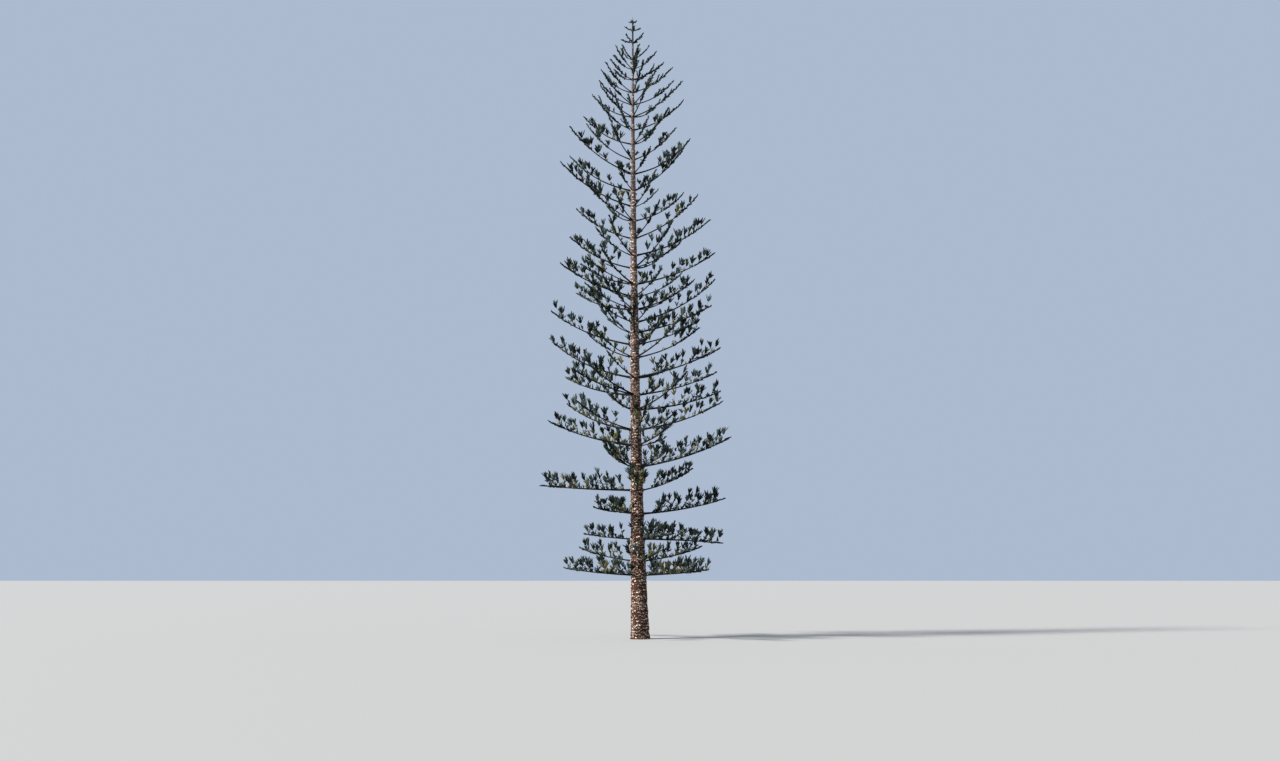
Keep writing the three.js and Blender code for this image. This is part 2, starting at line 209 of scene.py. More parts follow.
deselect_all()
bpy.ops.mesh.primitive_circle_add(vertices=TRUNK_SIDES, radius=ring_radius(0), fill_type="NGON")
trunk = bpy.context.object
trunk.name = "trunk_bark"
bpy.ops.object.mode_set(mode="EDIT")
z_now = 0.0
for z in ring_heights:
    step = (trunk_middle(z) - trunk_middle(z_now), 0, z - z_now)
    bpy.ops.mesh.extrude_region_move(TRANSFORM_OT_translate={"value": step})
    shrink = ring_radius(z) / ring_radius(z_now)
    middle = (trunk_middle(z), 0, z)
    bpy.ops.transform.resize(value=(shrink, shrink, 1), center_override=middle)
    z_now = z
bpy.ops.mesh.select_all(action="SELECT")
bpy.ops.mesh.normals_make_consistent(inside=False)
bpy.ops.mesh.select_mode(type="EDGE")
bpy.ops.mesh.select_all(action="DESELECT")
shape = bmesh.from_edit_mesh(trunk.data)
for edge in shape.edges:
    low, high = (vertex.co.z for vertex in edge.verts)
    edge.select_set(abs(high - low) > LONGEST_UNCUT)
bmesh.update_edit_mesh(trunk.data)
bpy.ops.mesh.subdivide(number_cuts=RING_CUTS)
bpy.ops.object.mode_set(mode="OBJECT")

# The foot spreads into low root ridges, and the stem isn't quite round.
for vertex in trunk.data.vertices:
    middle = trunk_middle(vertex.co.z)
    round_angle = math.atan2(vertex.co.y, vertex.co.x - middle)
    out = Vector((math.cos(round_angle), math.sin(round_angle), 0))
    lobe = 0.5 + 0.5 * math.cos(ROOT_LOBES * round_angle)
    ridge = ROOT_RADIUS * lobe * math.exp(-vertex.co.z / ROOT_HEIGHT)
    wobble = math.sin(OVAL_LOBES * round_angle + OVAL_TURN * vertex.co.z)
    oval = OVAL_DEPTH * trunk_radius(vertex.co.z) * wobble
    vertex.co += out * (ridge + oval)

# Flakes of bark lie as flat plates, each standing proud at its middle, over broad low lumps.
for vertex in trunk.data.vertices:
    at = vertex.co
    out = Vector((at.x - trunk_middle(at.z), at.y, 0)).normalized()
    from_plate, *_ = noise.voronoi(Vector((at.x, at.y, at.z * PLATE_FLATNESS)) / PLATE_SIZE)[0]
    lumps = noise.noise(at / LUMP_SIZE)
    lumps += FINE_LUMP_SHARE * noise.noise(at / LUMP_SIZE * FINE_LUMP_RATE)
    relief = PLATE_DEPTH * (0.5 - min(1.0, from_plate)) + LUMP_DEPTH * lumps
    at += out * relief_share(at.z) * relief
deselect_all()
trunk.select_set(True)
bpy.context.view_layer.objects.active = trunk
bpy.ops.object.shade_smooth()


def srgb(red, green, blue):
    """A colour from 0 to 255 as Blender's linear one."""
    linear = []
    for value in (red, green, blue):
        share = value / 255
        linear.append(share / 12.92 if share <= 0.04045 else ((share + 0.055) / 1.055) ** 2.4)
    return (*linear, 1.0)


def grey(level):
    return (level, level, level, 1)


def set_inputs(node, inputs):
    """Gives each input its value, or joins it to another node's output."""
    for key, value in inputs.items():
        if isinstance(value, bpy.types.NodeSocket):
            node.id_data.links.new(value, node.inputs[key])
        else:
            node.inputs[key].default_value = value


def add_node(nodes, kind, inputs, **settings):
    node = nodes.new(f"ShaderNode{kind}")
    for name, value in settings.items():
        setattr(node, name, value)
    set_inputs(node, inputs)
    return node


def new_material(name):
    material = bpy.data.materials.new(name)
    material.use_nodes = True
    nodes = material.node_tree.nodes
    return material, nodes, nodes["Principled BSDF"]


def ramp(nodes, source, low, high):
    """A colour ramp between two pairs of a position and a colour."""
    node = add_node(nodes, "ValToRGB", {"Fac": source})
    for element, (position, colour) in zip(node.color_ramp.elements, (low, high)):
        element.position = position
        element.color = colour
    return node.outputs["Color"]


def mapped(nodes, source, limits):
    """A value carried over from one range to another."""
    return add_node(nodes, "MapRange", {"Value": source, **limits}).outputs["Result"]


def mixed(nodes, share, first, second):
    inputs = {"Factor": share, "A": first, "B": second}
    return add_node(nodes, "Mix", inputs, data_type="RGBA").outputs["Result"]


def maths(nodes, operation, *values):
    inputs = dict(enumerate(values))
    return add_node(nodes, "Math", inputs, operation=operation).outputs["Value"]


def noise_pattern(nodes, place, rate, detail):
    inputs = {"Vector": place, "Scale": rate, "Detail": detail}
    return add_node(nodes, "TexNoise", inputs).outputs["Fac"]


def bark_material(name, dark, body, warm, pale, scale, flake_level, weathering):
    """Flaking bark: a body colour that drifts to a warm one, pale lifted scales in wavering rings,
    and dark cracks and bared patches, weathered grey towards the top of the tree. The pale scales
    are partly painted highlight, as on sunlit upper faces, and the near-black of the cracks, ring
    gaps and bared patches is partly painted shade."""
    material, nodes, shader = new_material(name)
    place = add_node(nodes, "TexCoord", {}).outputs["Object"]
    flat = add_node(nodes, "Mapping", {"Vector": place, "Scale": BARK_FLATNESS}).outputs["Vector"]
    cells = {"Vector": flat, "Scale": FLAKE_RATE * scale}

    drift = noise_pattern(nodes, flat, DRIFT_RATE * scale, DRIFT_DETAIL)
    tones = ramp(nodes, drift, (BODY_BELOW, body), (WARM_ABOVE, warm))

    waves = {"Vector": place, "Scale": RING_RATE * scale, **RING_WAVES}
    rings = add_node(nodes, "TexWave", waves, bands_direction="Z").outputs["Fac"]
    flakes = add_node(nodes, "TexVoronoi", cells).outputs["Color"]
    draws = add_node(nodes, "SeparateColor", {"Color": flakes}).outputs
    crowding = mapped(nodes, rings, CROWDING_BY_RING)
    chosen = maths(nodes, "MULTIPLY", draws["Red"], crowding)
    # The pale scales are partly the bark's own pale flakes and partly painted highlight on their
    # sunlit upper faces.
    lifted = ramp(nodes, chosen, (flake_level, grey(0)), (flake_level + FLAKE_EDGE, grey(1)))
    scales = ramp(nodes, draws["Green"], (0.0, warm), (PALE_ABOVE, pale))
    flaked = mixed(nodes, lifted, tones, scales)

    # The dark colour in the cracks, ring gaps and bared patches is partly painted shade in the
    # crevices.
    cracks = add_node(nodes, "TexVoronoi", cells, feature="DISTANCE_TO_EDGE").outputs["Distance"]
    crack_gap = ramp(nodes, cracks, (CRACK_TO, grey(1)), (CRACK_FADES_TO, grey(0)))
    ring_gap = ramp(nodes, rings, (RING_GAP_TO, grey(RING_GAP_SHARE)), (RING_GAP_FADES_TO, grey(0)))
    shed = noise_pattern(nodes, flat, SHED_RATE * scale, SHED_DETAIL)
    bared = ramp(nodes, shed, (BARED_TO, grey(BARED_SHARE)), (BARED_FADES_TO, grey(0)))
    gaps = maths(nodes, "MAXIMUM", crack_gap, ring_gap)
    cracked = mixed(nodes, maths(nodes, "MAXIMUM", gaps, bared), flaked, dark)

    height = add_node(nodes, "SeparateXYZ", {"Vector": place}).outputs["Z"]
    ages = {"From Min": WEATHERED_FROM, "From Max": WEATHERED_TO, "To Max": weathering}
    age = mapped(nodes, height, ages)
    grain = noise_pattern(nodes, flat, GRAIN_RATE * scale, GRAIN_DETAIL)
    relief = maths(nodes, "MULTIPLY_ADD", grain, GRAIN_SHARE, cracks)
    bump = {"Height": relief, "Strength": BUMP_STRENGTH, "Distance": BUMP_HEIGHT / scale}
    finish = {
        "Base Color": mixed(nodes, age, cracked, srgb(*WEATHERED_COLOUR)),
        "Roughness": mapped(nodes, grain, BARK_ROUGHNESS),
        "Normal": add_node(nodes, "Bump", bump).outputs["Normal"],
        "Specular IOR Level": BARK_SHINE,
    }
    set_inputs(shader, finish)
    return material


# The trunk's near-black dark is partly painted shade, and its near-white pale scales are partly
# painted highlight.
trunk.data.materials.append(
    bark_material(
        "flaking trunk bark",
        dark=srgb(12, 9, 8),
        body=srgb(82, 55, 42),
        warm=srgb(138, 92, 68),
        pale=srgb(250, 222, 200),
        scale=1.0,
        flake_level=0.36,
        weathering=0.25,
    )
)
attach(trunk, "root")
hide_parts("trunk")


# Boughs spring from the trunk in whorls, nearly level low in the crown and steeper towards the
# top, with tips that turn up. They are curves with a round section, made into meshes, with a
# swollen foot in the collar and a lumpy surface under finer bark, whose near-black colour is
# painted shade of the crown over them.
OPEN_WHORLS = 3
LOW_CROWN = 20.0
TWIST, GOLDEN, TURN_JITTER = 0.6, 0.618, 0.16
TWIST_OF_FIVE = 0.5
FRONT, FRONT_GAP, FRONT_EVERY, YOUNG = -math.pi / 2, 0.5, 3, 28.5
OUTLINE = {"top": 0.6, "neck": 1.2, "round": 1.064, "foot": 3.9, "swell": 0.17}
LEADER = {"length": 1.7, "reach": 0.42}
PAST_OUTLINE, SHORTEST_HIDDEN, SHORTEST_YOUNG = 1.12, 0.5, 0.85
ACROSS, SECOND = 0.6, 0.8
RISE_JITTER, LEAST_RISE = 0.04, 0.8
RISE_START, RISE_POWER = 0.5, 2.6
SWEEP = 0.07
LIMB_RADIUS, LIMB_STOUTNESS, LIMB_TIP, LIMB_TAPER = 0.015, 0.0085, 0.01, 0.7
BOUGH_POINTS, BOUGH_ROUNDNESS = 22, 2
BOUGH_FOOT = 0.7
FOOT_SWELL, FOOT_SWELL_LENGTH = 0.55, 0.09
BOUGH_LUMP_SIZE, BOUGH_LUMP_DEPTH = 0.09, 0.014
SHORT_STEP = 0.005
WELD = 0.0005
UP = np.array((0.0, 0.0, 1.0))
HASH_START, HASH_PRIME, HASH_MIXER, HASH_RANGE = 2166136261, 16777619, 1540483477, 2**32


def chance(*keys):
    """A number from 0 to 1 that depends on the keys alone. The last key tells its uses apart."""
    mask = HASH_RANGE - 1
    h = HASH_START
    for key in keys:
        h = ((h ^ (key + 1)) * HASH_PRIME) & mask
        h = ((h ^ (h >> 13)) * HASH_MIXER) & mask
        h ^= h >> 15
    return h / HASH_RANGE


def spread(*keys):
    return 2 * chance(*keys) - 1


def envelope(height):
    """The furthest that a bough reaches at a height: the crown's outline."""
    left = HEIGHT - height
    if left < LEADER["length"]:
        return LEADER["reach"] * left
    tapered = OUTLINE["top"] * (left - OUTLINE["neck"])
    swollen = OUTLINE["foot"] + OUTLINE["swell"] * height
    return min(tapered, OUTLINE["round"] * math.sqrt(left), swollen)


def clear_of_front(turn, whorl):
    """Turns most boughs that would point straight to the front to the trunk's left or right."""
    off = (turn - FRONT + math.pi) % (2 * math.pi) - math.pi
    height = WHORLS[whorl][0]
    is_kept = height > YOUNG or (height < LOW_CROWN and whorl % FRONT_EVERY == 1)
    if abs(off) >= FRONT_GAP or is_kept:
        return turn
    return FRONT - FRONT_GAP if whorl % 2 else FRONT + FRONT_GAP


class Bough:
    """One bough's centreline, from the trunk's middle at u = 0 to its tip at u = 1."""

    def __init__(self, whorl, key, height, turn, reach, rise, sweep):
        self.whorl, self.key, self.height = whorl, key, height
        self.reach, self.rise, self.sweep = reach, rise, sweep
        self.out = np.array((math.cos(turn), math.sin(turn), 0))
        self.side = np.array((-math.sin(turn), math.cos(turn), 0))
        drop = rise * RISE_START * trunk_radius(height)
        self.foot = np.array((trunk_middle(height), 0, height - drop))

    def point(self, u):
        lift = self.rise * (RISE_START * u + (1 - RISE_START) * u**RISE_POWER)
        line = self.out * u + self.side * self.sweep * u * u + UP * lift
        return self.foot + line * self.reach

    def along(self, u):
        step = self.point(min(1.0, u + SHORT_STEP)) - self.point(u - SHORT_STEP)
        return step / np.linalg.norm(step)

    def radius(self, u):
        root = LIMB_RADIUS + LIMB_STOUTNESS * self.reach
        return LIMB_TIP + (root - LIMB_TIP) * (1 - u) ** LIMB_TAPER


def bough_count(whorl):
    height = WHORLS[whorl][0]
    is_young = YOUNG < height < HEIGHT - LEADER["length"]
    return 5 if is_young or (whorl > OPEN_WHORLS and whorl % 2 and height < LOW_CROWN) else 4


def whorl_boughs(whorl):
    """The boughs of one whorl, by the rule that the solids follow."""
    height, left, right, left_rise, right_rise = WHORLS[whorl]
    count = bough_count(whorl)
    start = math.pi if left >= right else 0
    twist = TWIST * (2 * ((whorl * GOLDEN) % 1) - 1) * (TWIST_OF_FIVE if count == 5 else 1)
    found = []
    for key in range(count):
        even = start + twist + 2 * math.pi * key / count
        turn = clear_of_front(even + TURN_JITTER * spread(whorl, key, 1), whorl)
        across = math.cos(turn)
        least = SHORTEST_YOUNG if height > YOUNG else SHORTEST_HIDDEN
        share = least + (1 - least) * chance(whorl, key, 2)
        slope = (left_rise + right_rise) / 2
        if abs(across) > ACROSS:
            seen = (left if across < 0 else right) / abs(across)
            share = min(seen * (SECOND if key > count / 2 else 1) / envelope(height), PAST_OUTLINE)
            slope = left_rise if across < 0 else right_rise
        rise = slope * max(abs(across), LEAST_RISE) + RISE_JITTER * spread(whorl, key, 3)
        sweep = SWEEP * spread(whorl, key, 4)
        found.append(Bough(whorl, key, height, turn, envelope(height) * share, rise, sweep))
    return found


def limbs_from_curve(name, lines, roundness):
    """Tapering limbs as one mesh: each line is a list of points and radii."""
    deselect_all()
    bpy.ops.curve.primitive_nurbs_path_add()
    limbs = bpy.context.object
    limbs.name = name
    limbs.data.splines.clear()
    limbs.data.bevel_depth = 1.0
    limbs.data.bevel_resolution = roundness
    limbs.data.use_fill_caps = True
    limbs.data.twist_mode = "Z_UP"
    for points, radii in lines:
        spline = limbs.data.splines.new("POLY")
        spline.points.add(len(points) - 1)
        spline.points.foreach_set("co", np.c_[points, np.ones(len(points))].ravel())
        spline.points.foreach_set("radius", np.array(radii))
    bpy.ops.object.convert(target="MESH")
    limbs = bpy.context.object
    bpy.ops.object.mode_set(mode="EDIT")
    bpy.ops.mesh.select_all(action="SELECT")
    bpy.ops.mesh.remove_doubles(threshold=WELD)
    bpy.ops.mesh.normals_make_consistent(inside=False)
    bpy.ops.object.mode_set(mode="OBJECT")
    bpy.ops.object.shade_smooth()
    return limbs


def roughen(piece, size, depth):
    """Moves a piece's surface in and out by Blender's cloud texture."""
    texture = bpy.data.textures.new(f"{piece.name} lumps", "CLOUDS")
    texture.noise_scale = size
    modifier = piece.modifiers.new("Lumps", "DISPLACE")
    modifier.texture = texture
    modifier.strength = depth
    bpy.context.view_layer.objects.active = piece
    bpy.ops.object.modifier_apply(modifier=modifier.name)


def bough_line(bough):
    """The points and radii of one bough, from inside the trunk to its tip."""
    surface = trunk_radius(bough.height) / bough.reach
    start = BOUGH_FOOT * trunk_radius(bough.height) / bough.reach
    shares = start + (1 - start) * np.linspace(0, 1, BOUGH_POINTS)
    radii = []
    for u in shares:
        past_bark = max(0, u - surface) * bough.reach
        swell = 1 + FOOT_SWELL * math.exp(-past_bark / FOOT_SWELL_LENGTH)
        radii.append(bough.radius(u) * swell)
    return [bough.point(u) for u in shares], radii


boughs = [bough for whorl in range(len(WHORLS)) for bough in whorl_boughs(whorl)]
bough_bark = limbs_from_curve("bough_bark", [bough_line(bough) for bough in boughs], BOUGH_ROUNDNESS)
roughen(bough_bark, BOUGH_LUMP_SIZE, BOUGH_LUMP_DEPTH)
# The boughs' bark colours are near black, which is painted shade of the crown over the boughs.
bough_bark.data.materials.append(
    bark_material(
        "rough bough bark in painted shade",
        dark=srgb(14, 13, 12),
        body=srgb(28, 26, 25),
        warm=srgb(40, 35, 32),
        pale=srgb(80, 75, 70),
        scale=2.6,
        flake_level=0.7,
        weathering=0.0,
    )
)
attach(bough_bark, "root")
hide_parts(*[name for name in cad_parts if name.startswith("bough_")])


# Twigs stand in two ranks on each bough and lean out, aside and up, so they make an upright V
# along it: the foliage is carried above the bough, and its underside is clean. They are thin
# tapering curves, made one mesh, with the boughs' bark.
HIDDEN_BARE, HIDDEN_GAP = 0.5, 1.6
LATEST_START = 0.5
YOUNG_LEAN_FROM, YOUNG_LEAN_TO = 25, 31
TWIG_LEAN = {"out": (0.4, 1.0), "side": (0.65, 0.6), "up": (0.7, 0.3)}
LEAN_JITTER = {"side": 0.6, "up": 0.4}
PLACE_JITTER = 0.4
TWIG_SIZE = {"base": 0.5, "by_reach": 0.15, "most": 1.15}
TWIG_CHANCE = {"least": 0.65, "range": 0.85, "power": 2}
TWIG_POINTS, TWIG_ROUNDNESS = 5, 0
TWIG_CURL = 0.28
TWIG_RADIUS, TWIG_RADIUS_TAPER = 0.011, 0.7
SHORTEST_TWIGGED = 1.0

# How the crown changes up the tree, at these heights: the bare length of a bough, the gap between
# its twigs and their length, how far along it they go, how much shorter and how much closer they
# get towards its tip, and the fans of shoots on each metre of twig and of bough.
HABIT = {
    "height": (3, 8.5, 11, 15, 20, 27, 30),
    "bare": (0.2, 0.4, 0.9, 1.2, 1.2, 0.9, 0.3),
    "gap": (0.52, 0.36, 0.72, 0.64, 0.55, 0.44, 0.9),
    "length": (0.6, 0.82, 0.62, 0.54, 0.44, 0.32, 0.5),
    "end": (0.97, 0.97, 0.97, 0.97, 0.93, 0.82, 0.78),
    "taper": (0.35, 0.5, 0.3, 0.2, 0.2, 0.2, 0.2),
    "crowding": (0.95, 1.0, 0.8, 0.65, 0.65, 0.65, 0.65),
    "twig fans": (3.0, 3.2, 2.0, 1.6, 1.2, 0.9, 0.0),
    "bough fans": (3.4, 5.0, 2.6, 2.6, 2.2, 0.8, 0.0),
}


class Twig:
    """One twig, curling up from its root on a bough."""

    def __init__(self, root, lean, length, bough, share):
        self.root, self.lean, self.length = root, lean, length
        self.bough, self.share = bough, share

    def point(self, v):
        return self.root + (self.lean * v + UP * TWIG_CURL * v * v) * self.length

    def along(self, v):
        step = self.lean + UP * 2 * TWIG_CURL * v
        return step / np.linalg.norm(step)


def habit(trait, bough):
    return np.interp(bough.height, HABIT["height"], HABIT[trait])


def is_across(bough):
    """Whether a bough points to the left or right, and not to the front or back."""
    return abs(bough.out[0]) > ACROSS


def bare_length(bough):
    """How far from the trunk's middle foliage starts, which is sooner to the front and back."""
    return trunk_radius(bough.height) + habit("bare", bough) * (1 if is_across(bough) else HIDDEN_BARE)


def thinning(bough):
    """How much sparser foliage is than on a bough to the left or right."""
    return 1 if is_across(bough) else HIDDEN_GAP


def twig_lean(bough, u, hand, *keys):
    """Which way a twig leans from share u of its bough."""
    heights = (YOUNG_LEAN_FROM, YOUNG_LEAN_TO)
    out, side, up = (np.interp(bough.height, heights, TWIG_LEAN[way]) for way in ("out", "side", "up"))
    aside = hand * side * (1 + LEAN_JITTER["side"] * spread(*keys, 16))
    lift = up * (1 + LEAN_JITTER["up"] * spread(*keys, 17))
    lean = bough.along(u) * out + bough.side * aside + UP * lift
    return lean / np.linalg.norm(lean)


def bough_twigs(bough):
    """The twigs of one bough: the rule of the solids' tufts, set closer and on both sides."""
    if bough.reach < SHORTEST_TWIGGED:
        return []
    first = min(LATEST_START, bare_length(bough) / bough.reach)
    last = habit("end", bough)
    gap = habit("gap", bough) * thinning(bough)
    count = max(1, round(bough.reach * (last - first) / gap))
    by_reach = TWIG_SIZE["base"] + TWIG_SIZE["by_reach"] * bough.reach
    longest = habit("length", bough) * min(TWIG_SIZE["most"], by_reach)
    found = []
    for i in range(2 * count):
        keys = (bough.whorl, bough.key, i)
        even = (i / 2 + 0.5 + PLACE_JITTER * spread(*keys, 15)) / (count + 0.5)
        share = even ** habit("crowding", bough)
        u = first + (last - first) * share
        lean = twig_lean(bough, u, 1 if i % 2 else -1, *keys)
        grown = TWIG_CHANCE["least"] + TWIG_CHANCE["range"] * chance(*keys, 18) ** TWIG_CHANCE["power"]
        length = longest * grown * (1.0 - habit("taper", bough) * share)
        found.append(Twig(bough.point(u), lean, length, bough, share))
    return found


def twig_line(twig):
    shares = np.linspace(0, 1, TWIG_POINTS)
    radii = TWIG_RADIUS * (1 - TWIG_RADIUS_TAPER * shares)
    return [twig.point(v) for v in shares], radii


twigs = [twig for bough in boughs for twig in bough_twigs(bough)]
twig_bark = limbs_from_curve("twig_bark", [twig_line(twig) for twig in twigs], TWIG_ROUNDNESS)
# The twigs share the boughs' bark and its painted shade.
twig_bark.data.materials.append(bough_bark.data.materials[0])
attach(twig_bark, "root")


# Foliage is cord-like shoots clothed in short overlapping needles. They stand in fans on the twigs
# and boughs, in a close sleeve along the young end of each bough, and round the leader. One shoot
# is modelled, toothed along its length, and copied in a few plain colours dealt out by spray; the
# pale one is a painted highlight, shoots coloured as if sunlit.
FAN = {"root": 0.03, "turn": 0.3, "lift": 0.1}
TIP_FAN, SIDE_FAN, BOUGH_FAN = 12, 5, 5
TIP_OPEN, SIDE_OPEN, BOUGH_OPEN = (0.04, 0.68), (0.05, 0.8), (0.1, 0.9)
TIP_FROM, TIP_SIZE = 0.82, 1.35
SIDE_SPAN, SIDE_START, SIDE_END = 0.9, 0.35, 0.3
SIDE_LEAN, SIDE_JITTER = 0.75, 0.4
LOW_ON_TWIG = 0.6
BOUGH_LEAN = {"out": 0.5, "side": 0.7, "up": 0.6}
BOUGH_SPAN, BOUGH_FAN_SIZE = 0.9, 0.75
SPRAY_SIZE = {"base": 0.55, "by_reach": 0.12}
SHOOT_LENGTH = (0.15, 0.34)
SHOOT_RADIUS = (0.028, 0.038)
SHOOT_RINGS = [(0.0, 0.4), (0.24, 0.85), (0.42, 0.65), (0.64, 1.0), (0.84, 0.75)]
SHOOT_TWIST = math.radians(40)
SHOOT_CURL = 0.1
FULL_TURN = 6.28
SLEEVE = {"length": 1.2, "share": 0.62, "gap": 0.03, "open": 0.48, "fewest": 3}
SLEEVE_SHOOT = (0.15, 0.22)
SLEEVE_JITTER = (0.7, 1.2)
SLEEVE_CLOSES_FROM, SLEEVE_CLOSED = 0.85, 0.5
SLEEVE_UNDER = 0.9
SLEEVE_SIZE = {"base": 0.65, "by_reach": 0.25}
SHORTEST_SLEEVED, SHORT_SLEEVE = 0.8, 0.9
YOUNG_SLEEVED, YOUNG_SLEEVE, YOUNG_SHOOT_SIZE = 27.5, 0.8, 0.7
STEM_SLEEVE = {"length": 5.4, "gap": 0.014, "open": 0.35, "turn": 2.4, "top": 0.05}
STEM_SHOOTS = (0.17, 0.09)

# Each tone in each tier is one piece. A tier goes from its first whorl to just before its last.
TIERS = {"low": (0, 10), "middle": (10, 20), "top": (20, len(WHORLS))}
TONES = {
    "deep": srgb(24, 31, 27),
    "green": srgb(45, 56, 47),
    "grey": srgb(68, 79, 76),
    # The pale tone is a painted highlight: shoots coloured as if sunlit.
    "pale": srgb(128, 131, 114),
    "olive": srgb(92, 90, 54),
    "dry": srgb(88, 78, 60),
}

# The share of each tone, in that order, in the fans at a twig's tip and in those low on it, and in
# both on an old stretch of bough. Low in the crown, a bough that points to the front is old all
# along.
MIXES = {
    "tip": (0.48, 0.33, 0.19, 0.0, 0.0, 0.0),
    "low": (0.28, 0.24, 0.22, 0.26, 0.0, 0.0),
    "old tip": (0.38, 0.28, 0.12, 0.0, 0.18, 0.04),
    "old low": (0.08, 0.06, 0.02, 0.12, 0.52, 0.2),
}
OLD_BOUGHS = 0.5
OLD_CENTRE_FROM, OLD_CENTRE_RANGE = 0.25, 0.5
OLD_STRETCH, OLD_STRETCH_HIGH, OLD_HIGH_FROM = 0.22, 0.14, 12
OLD_FRONT = -0.9
FOLIAGE_ROUGHNESS, FOLIAGE_SHINE = 0.75, 0.12
BELOW_ONE = 0.999
DEEP_SLEEVES = 0.6

# Any direction that no shoot's axis has will do to find its sides.
SIDEWAYS_OF_AXIS = (0.31, 0.17, 0.94)
SIDEWAYS_OF_SHOOT = (0.12, 0.9, 0.41)
SEED = 37
rng = np.random.default_rng(SEED)

deselect_all()
bpy.ops.mesh.primitive_circle_add(vertices=3, radius=SHOOT_RINGS[0][1], fill_type="NGON")
shoot = bpy.context.object
bpy.ops.object.mode_set(mode="EDIT")
for (low, narrow), (high, wide) in zip(SHOOT_RINGS, SHOOT_RINGS[1:]):
    bpy.ops.mesh.extrude_region_move(TRANSFORM_OT_translate={"value": (0, 0, high - low)})
    bpy.ops.transform.resize(value=(wide / narrow, wide / narrow, 1), center_override=(0, 0, high))
    bpy.ops.transform.rotate(value=SHOOT_TWIST, orient_axis="Z", center_override=(0, 0, high))
bpy.ops.mesh.extrude_region_move(TRANSFORM_OT_translate={"value": (0, 0, 1 - SHOOT_RINGS[-1][0])})
bpy.ops.mesh.merge(type="CENTER")
bpy.ops.mesh.select_all(action="SELECT")
bpy.ops.mesh.normals_make_consistent(inside=False)
bpy.ops.mesh.quads_convert_to_tris()
bpy.ops.object.mode_set(mode="OBJECT")
shoot_points = np.array([vertex.co for vertex in shoot.data.vertices])
shoot_faces = np.array([face.vertices for face in shoot.data.polygons])
bpy.data.objects.remove(shoot)

shoots = {(tier, tone): [] for tier in TIERS for tone in TONES}


def tier_of(bough):
    return next(tier for tier, (first, last) in TIERS.items() if first <= bough.whorl < last)


def unit(ways):
    return ways / np.linalg.norm(ways, axis=-1, keepdims=True)


def add_shoots(tier, tone, roots, axes, open_angles, turns, lengths, lift):
    """Shoots that stand out of their axes like the bristles of a bottle brush."""
    side = unit(np.cross(axes, SIDEWAYS_OF_AXIS))
    up = np.cross(side, axes)
    around = np.cos(turns)[:, None] * side + np.sin(turns)[:, None] * up
    ways = np.cos(open_angles)[:, None] * axes + np.sin(open_angles)[:, None] * around
    radii = rng.uniform(*SHOOT_RADIUS, len(roots))
    shoots[tier, tone].append(np.c_[roots, unit(ways + UP * lift), lengths, radii])


def tone_for(bough, share, place):
    """Draws the tone of a fan that stands at the tip of a twig or low on it."""
    centre = OLD_CENTRE_FROM + OLD_CENTRE_RANGE * chance(bough.whorl, bough.key, 23)
    stretch = OLD_STRETCH if bough.height < OLD_HIGH_FROM else OLD_STRETCH_HIGH
    is_old = chance(bough.whorl, bough.key, 21) > OLD_BOUGHS and abs(share - centre) < stretch
    is_old_front = bough.out[1] < OLD_FRONT and bough.height < LOW_CROWN
    odds = MIXES[f"old {place}" if is_old or is_old_front else place]
    return list(TONES)[int(np.searchsorted(np.cumsum(odds), rng.random() * BELOW_ONE))]


def add_fan(tier, tone, root, axis, count, open_range, size):
    """A fan of shoots from one point of a twig or bough."""
    roots = np.tile(root, (count, 1)) + rng.uniform(-FAN["root"], FAN["root"], (count, 3))
    axes = np.tile(axis, (count, 1))
    open_angles = rng.uniform(*open_range, count)
    even = np.arange(count) + rng.uniform(-FAN["turn"], FAN["turn"], count)
    lengths = size * rng.uniform(*SHOOT_LENGTH, count)
    turns = 2 * math.pi * even / count + rng.uniform(0, FULL_TURN)
    add_shoots(tier, tone, roots, axes, open_angles, turns, lengths, FAN["lift"])


def add_sleeve(line, length, clothed, tier, tone, size):
    """Shoots set close round the far part of a bough or twig, few of them under it."""
    count = max(SLEEVE["fewest"], round(clothed * length / SLEEVE["gap"]))
    shares = 1 - clothed * np.linspace(1, 0, count)
    roots = np.array([line.point(u) for u in shares])
    axes = np.array([line.along(u) for u in shares])
    closing = np.interp(shares, (SLEEVE_CLOSES_FROM, 1), (1, SLEEVE_CLOSED))
    open_angles = SLEEVE["open"] * rng.uniform(*SLEEVE_JITTER, count) * closing
    turns = rng.uniform(-SLEEVE_UNDER, math.pi + SLEEVE_UNDER, count)
    lengths = size * rng.uniform(*SLEEVE_SHOOT, count)
    add_shoots(tier, tone, roots, axes, open_angles, turns, lengths, 0.0)


def add_twig_foliage(twig):
    """A young twig's sleeve, or a large fan on a twig's tip and smaller ones down its sides."""
    bough = twig.bough
    tier = tier_of(bough)
    tone = tone_for(bough, twig.share, "tip")
    if bough.height > YOUNG_SLEEVED:
        add_sleeve(twig, twig.length, YOUNG_SLEEVE, tier, tone, YOUNG_SHOOT_SIZE)
        return
    size = min(1.0, SPRAY_SIZE["base"] + SPRAY_SIZE["by_reach"] * bough.reach)
    add_fan(tier, tone, twig.point(TIP_FROM), twig.along(1), TIP_FAN, TIP_OPEN, size * TIP_SIZE)
    count = int(habit("twig fans", bough) * twig.length + rng.random())
    for i in range(count):
        v = SIDE_SPAN * (i + SIDE_START) / (count + SIDE_END)
        hand = 1 if i % 2 else -1
        aside = np.cross(twig.along(v), UP) * hand + rng.uniform(-SIDE_JITTER, SIDE_JITTER, 3)
        axis = unit(twig.along(v) + SIDE_LEAN * aside)
        tone = tone_for(bough, twig.share, "low" if v < LOW_ON_TWIG else "tip")
        add_fan(tier, tone, twig.point(v), axis, SIDE_FAN, SIDE_OPEN, size)


